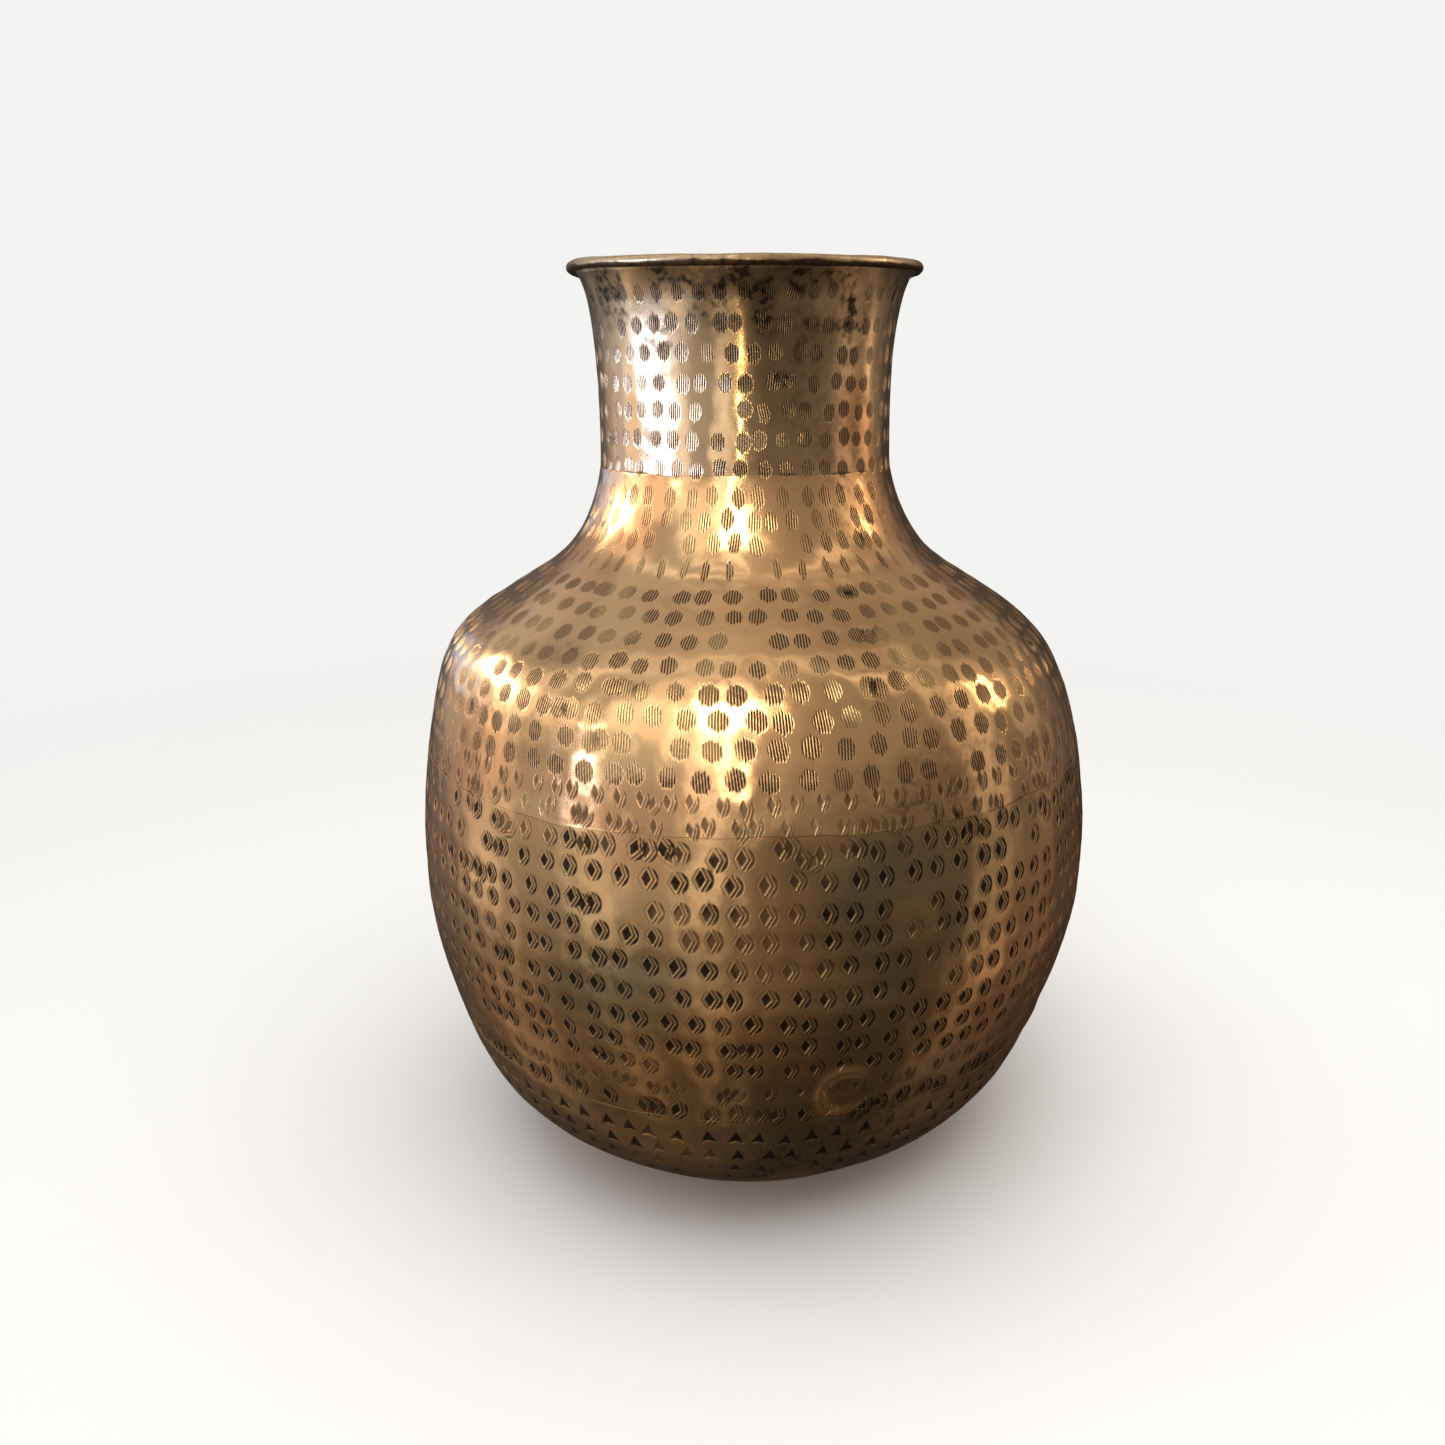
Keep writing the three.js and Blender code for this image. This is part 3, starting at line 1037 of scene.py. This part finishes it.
def room_level(tree, x, y, z):
    """How bright the room is in a direction: ceiling, walls and floor, each brighter to the left.
    It is dimmed on the far side, low behind the pot and straight below."""
    ceiling = ramp(tree, x, (-0.2, 0.6), (0.56, 0.34))
    walls = ramp(tree, x, (-0.6, 0.3), (0.5, 0.19))
    ground = ramp(tree, x, (-0.5, 0.5), (0.2, 0.105))
    above = ramp(tree, z, (-0.05, 0.42), (0, 1))
    below = ramp(tree, z, (-0.26, -0.66), (0, 1))
    level = mix_value(tree, above, walls, ceiling)
    level = mix_value(tree, below, level, ground)
    for azimuth, half_width, gain in STREAKS:
        level = times(tree, level, streak_gain(tree, x, y, azimuth, half_width, gain))
    far_side = times(tree, ramp(tree, y, (0.55, 0.9), (0, 1)), ramp(tree, z, (0.5, 0.2), (0, 1)))
    low_behind = times(tree, ramp(tree, y, (0.1, 0.6), (0, 1)), ramp(tree, z, (-0.1, -0.3), (0, 1)))
    dimmed = ((far_side, (0, 1), 0.25), (low_behind, (0, 1), 0.42), (z, (-0.6, -0.95), 0.45))
    for towards, limits, remaining in dimmed:
        level = times(tree, level, ramp(tree, towards, limits, (1, remaining)))
    return level


def room_tone(tree, x, z):
    """Colour of the room: cool at the left, warm at the right and below."""
    cool, warm, floor_tone = (0.9, 0.95, 1.0, 1), (1.0, 0.93, 0.84, 1), (1.0, 0.88, 0.72, 1)
    tone = mix_colour(tree, ramp(tree, x, (-0.6, 0.4), (0, 1)), cool, warm)
    return mix_colour(tree, ramp(tree, z, (-0.2, -0.7), (0, 1)), tone, floor_tone)


def world():
    """Pale backdrop for the eye. What the brass mirrors is a dim room, brighter above and to the left."""
    studio = bpy.data.worlds.new("studio")
    bpy.context.scene.world = studio
    studio.use_nodes = True
    tree = studio.node_tree
    split = tree.nodes.new("ShaderNodeSeparateXYZ")
    tree.links.new(tree.nodes.new("ShaderNodeTexCoord").outputs["Generated"], split.inputs[0])
    x, y, z = split.outputs
    dim_room = tree.nodes["Background"]
    tree.links.new(room_tone(tree, x, z), dim_room.inputs["Color"])
    tree.links.new(room_level(tree, x, y, z), dim_room.inputs["Strength"])
    backdrop = node(tree, "ShaderNodeBackground", Color=(*BACKDROP, 1))
    choose = tree.nodes.new("ShaderNodeMixShader")
    tree.links.new(tree.nodes.new("ShaderNodeLightPath").outputs["Is Camera Ray"], choose.inputs[0])
    tree.links.new(dim_room.outputs[0], choose.inputs[1])
    tree.links.new(backdrop.outputs[0], choose.inputs[2])
    tree.links.new(choose.outputs[0], tree.nodes["World Output"].inputs["Surface"])


def area_light(name, azimuth, elevation, distance, size, radiance, colour, aim=0.3, lit=None):
    """Light aimed at a height on the pot, in metres. Azimuth 0 is the viewer's side and grows to the
    right. lit is the group of pieces that the light is kept to."""
    data = bpy.data.lights.new(name, "AREA")
    data.shape = "RECTANGLE"
    data.size, data.size_y = size
    data.energy = radiance * math.pi * size[0] * size[1]
    data.color = colour
    lamp = bpy.data.objects.new(name, data)
    a, e = math.radians(azimuth), math.radians(elevation)
    away = Vector((math.sin(a) * math.cos(e), -math.cos(a) * math.cos(e), math.sin(e)))
    lamp.location = Vector((0, 0, aim)) + away * distance
    lamp.rotation_euler = away.to_track_quat("Z", "Y").to_euler()
    lamp.visible_camera = False
    lamp.light_linking.receiver_collection = lit
    bpy.context.scene.collection.objects.link(lamp)
    return lamp


def light_group(name, pieces):
    group = bpy.data.collections.new(name)
    for piece in pieces:
        group.objects.link(piece)
    return group


def body_lamps(body):
    """Lamps and windows of the room that the shoulder and belly mirror."""
    white, yellow, blue = (1.0, 0.94, 0.8), (1.0, 0.92, 0.76), (0.5, 0.62, 1.0)
    return [
        area_light("left_wash", -94, 20, 1.7, (1.9, 0.62), 0.75, (1.0, 0.95, 0.9), lit=body),
        area_light("left_lamp", -105, 20, 1.5, (0.7, 0.3), 7.0, white, lit=body),
        area_light("left_edge", -126, 6, 1.6, (1.0, 0.36), 1.0, (0.34, 0.54, 1.0), lit=body),
        area_light("left_low", -97, 4, 1.5, (0.5, 0.2), 1.3, (1.0, 0.88, 0.8), lit=body),
        area_light("left_slit", -52, 3, 1.5, (0.09, 0.36), 9.0, blue, lit=body),
        area_light("left_gap", -55, 20, 1.5, (0.09, 0.12), 9.0, white, lit=body),
        area_light("front_glow", -31, 36, 1.8, (0.75, 1.1), 0.6, yellow, lit=body),
        area_light("front_lamp", -8, 47, 1.6, (0.5, 0.7), 5.5, (1.0, 0.92, 0.72), lit=body),
        area_light("front_strip", -8, 30, 1.5, (0.12, 1.1), 7.0, yellow, lit=body),
        area_light("right_high", 95, 30, 1.5, (0.1, 0.1), 9.0, (1.0, 0.92, 0.75), lit=body),
    ]


def neck_lamps(neck):
    """What the neck mirrors: a cool window at the left, a thin yellow line and a glow at the right."""
    return [
        area_light("front_line", -6, 0, 1.4, (0.03, 0.7), 22.0, (1.0, 0.84, 0.5), aim=0.34, lit=neck),
        area_light("right_glow", 104, 2, 1.5, (0.35, 0.36), 0.6, (1.0, 0.82, 0.62), aim=0.4, lit=neck),
        area_light("window", -71, 1, 1.2, (0.8, 0.25), 13.0, (0.38, 0.55, 1.0), aim=0.41, lit=neck),
        area_light("window_edge", -110, -1, 1.2, (0.4, 0.25), 0.4, (0.42, 0.6, 1.0), aim=0.41, lit=neck),
    ]


def lights(neck, body):
    """neck and body are the groups of pieces that some of the lamps are kept to."""
    world()
    both = [area_light("right_lamp", 97, 22, 1.5, (0.18, 0.5), 4.8, (1.0, 0.82, 0.58))]
    for lamp in body_lamps(body) + neck_lamps(neck) + both:
        lamp.visible_diffuse = False
    floor_wash = area_light("floor_wash", 20, 80, 2.0, (2.4, 2.4), 2.1, (1.0, 0.99, 0.97), aim=0.0)
    floor_wash.visible_glossy = False


# Where the camera stands, in metres, and how far it looks down, in degrees
EYE = (0, -0.609, 0.4066)
LOOKS_DOWN = 16.54
LENS, SIDE_SHIFT = 28.65, -0.021


def camera():
    """Arm's length away, level with the neck and looking down a little."""
    data = bpy.data.cameras.new("camera")
    data.sensor_width = 36
    data.lens = LENS
    data.shift_x = SIDE_SHIFT
    data.clip_start = 0.02
    data.clip_end = 20
    eye = bpy.data.objects.new("camera", data)
    eye.location = EYE
    eye.rotation_euler = (math.radians(90 - LOOKS_DOWN), 0, 0)
    bpy.context.scene.collection.objects.link(eye)
    bpy.context.scene.camera = eye


# ---------------------------------------------------------------- the pot

COPPER = (0.84, 0.38, 0.16)
OLIVE = (0.34, 0.25, 0.13)

camera()
collar = neck_collar(brass("neck_brass", (0.90, 0.56, 0.30), COPPER, (0.42, 0.26, 0.13), 0.09))
shoulder = shoulder_shell(brass("shoulder_brass", (0.93, 0.53, 0.25), COPPER, (0.56, 0.34, 0.16), 0.12))
# The belly and the base have darker brass than the neck and shoulder: partly their own olive patina, partly
# painted shade for the dark floor that they mirror.
belly = belly_shell(brass("belly_brass", (0.72, 0.38, 0.16), (0.84, 0.36, 0.15), OLIVE, 0.17))
base = base_dish(brass("base_brass", (0.68, 0.36, 0.15), (0.76, 0.33, 0.14), OLIVE, 0.19))
filler = brass("braze_filler", (0.34, 0.20, 0.09), COPPER, OLIVE, 0.42)
neck_braze = braze_ring("neck_seam_braze", NECK_SEAM, filler)
belly_braze = braze_ring("belly_seam_braze", BELLY_SEAM, filler)
base_braze = braze_ring("base_seam_braze", BASE_SEAM, filler)
wire = rim_wire(brass("wire_steel", (0.22, 0.2, 0.18), (0.2, 0.12, 0.08), (0.1, 0.07, 0.05), 0.5))

# Mirrored in the shoulder, the neck would make a strong orange patch
collar.visible_glossy = False

stage_floor()
lights(light_group("neck_lit", (collar, wire, neck_braze)),
       light_group("body_lit", (shoulder, belly, base, belly_braze, base_braze)))
bpy.context.scene.view_settings.view_transform = "Standard"
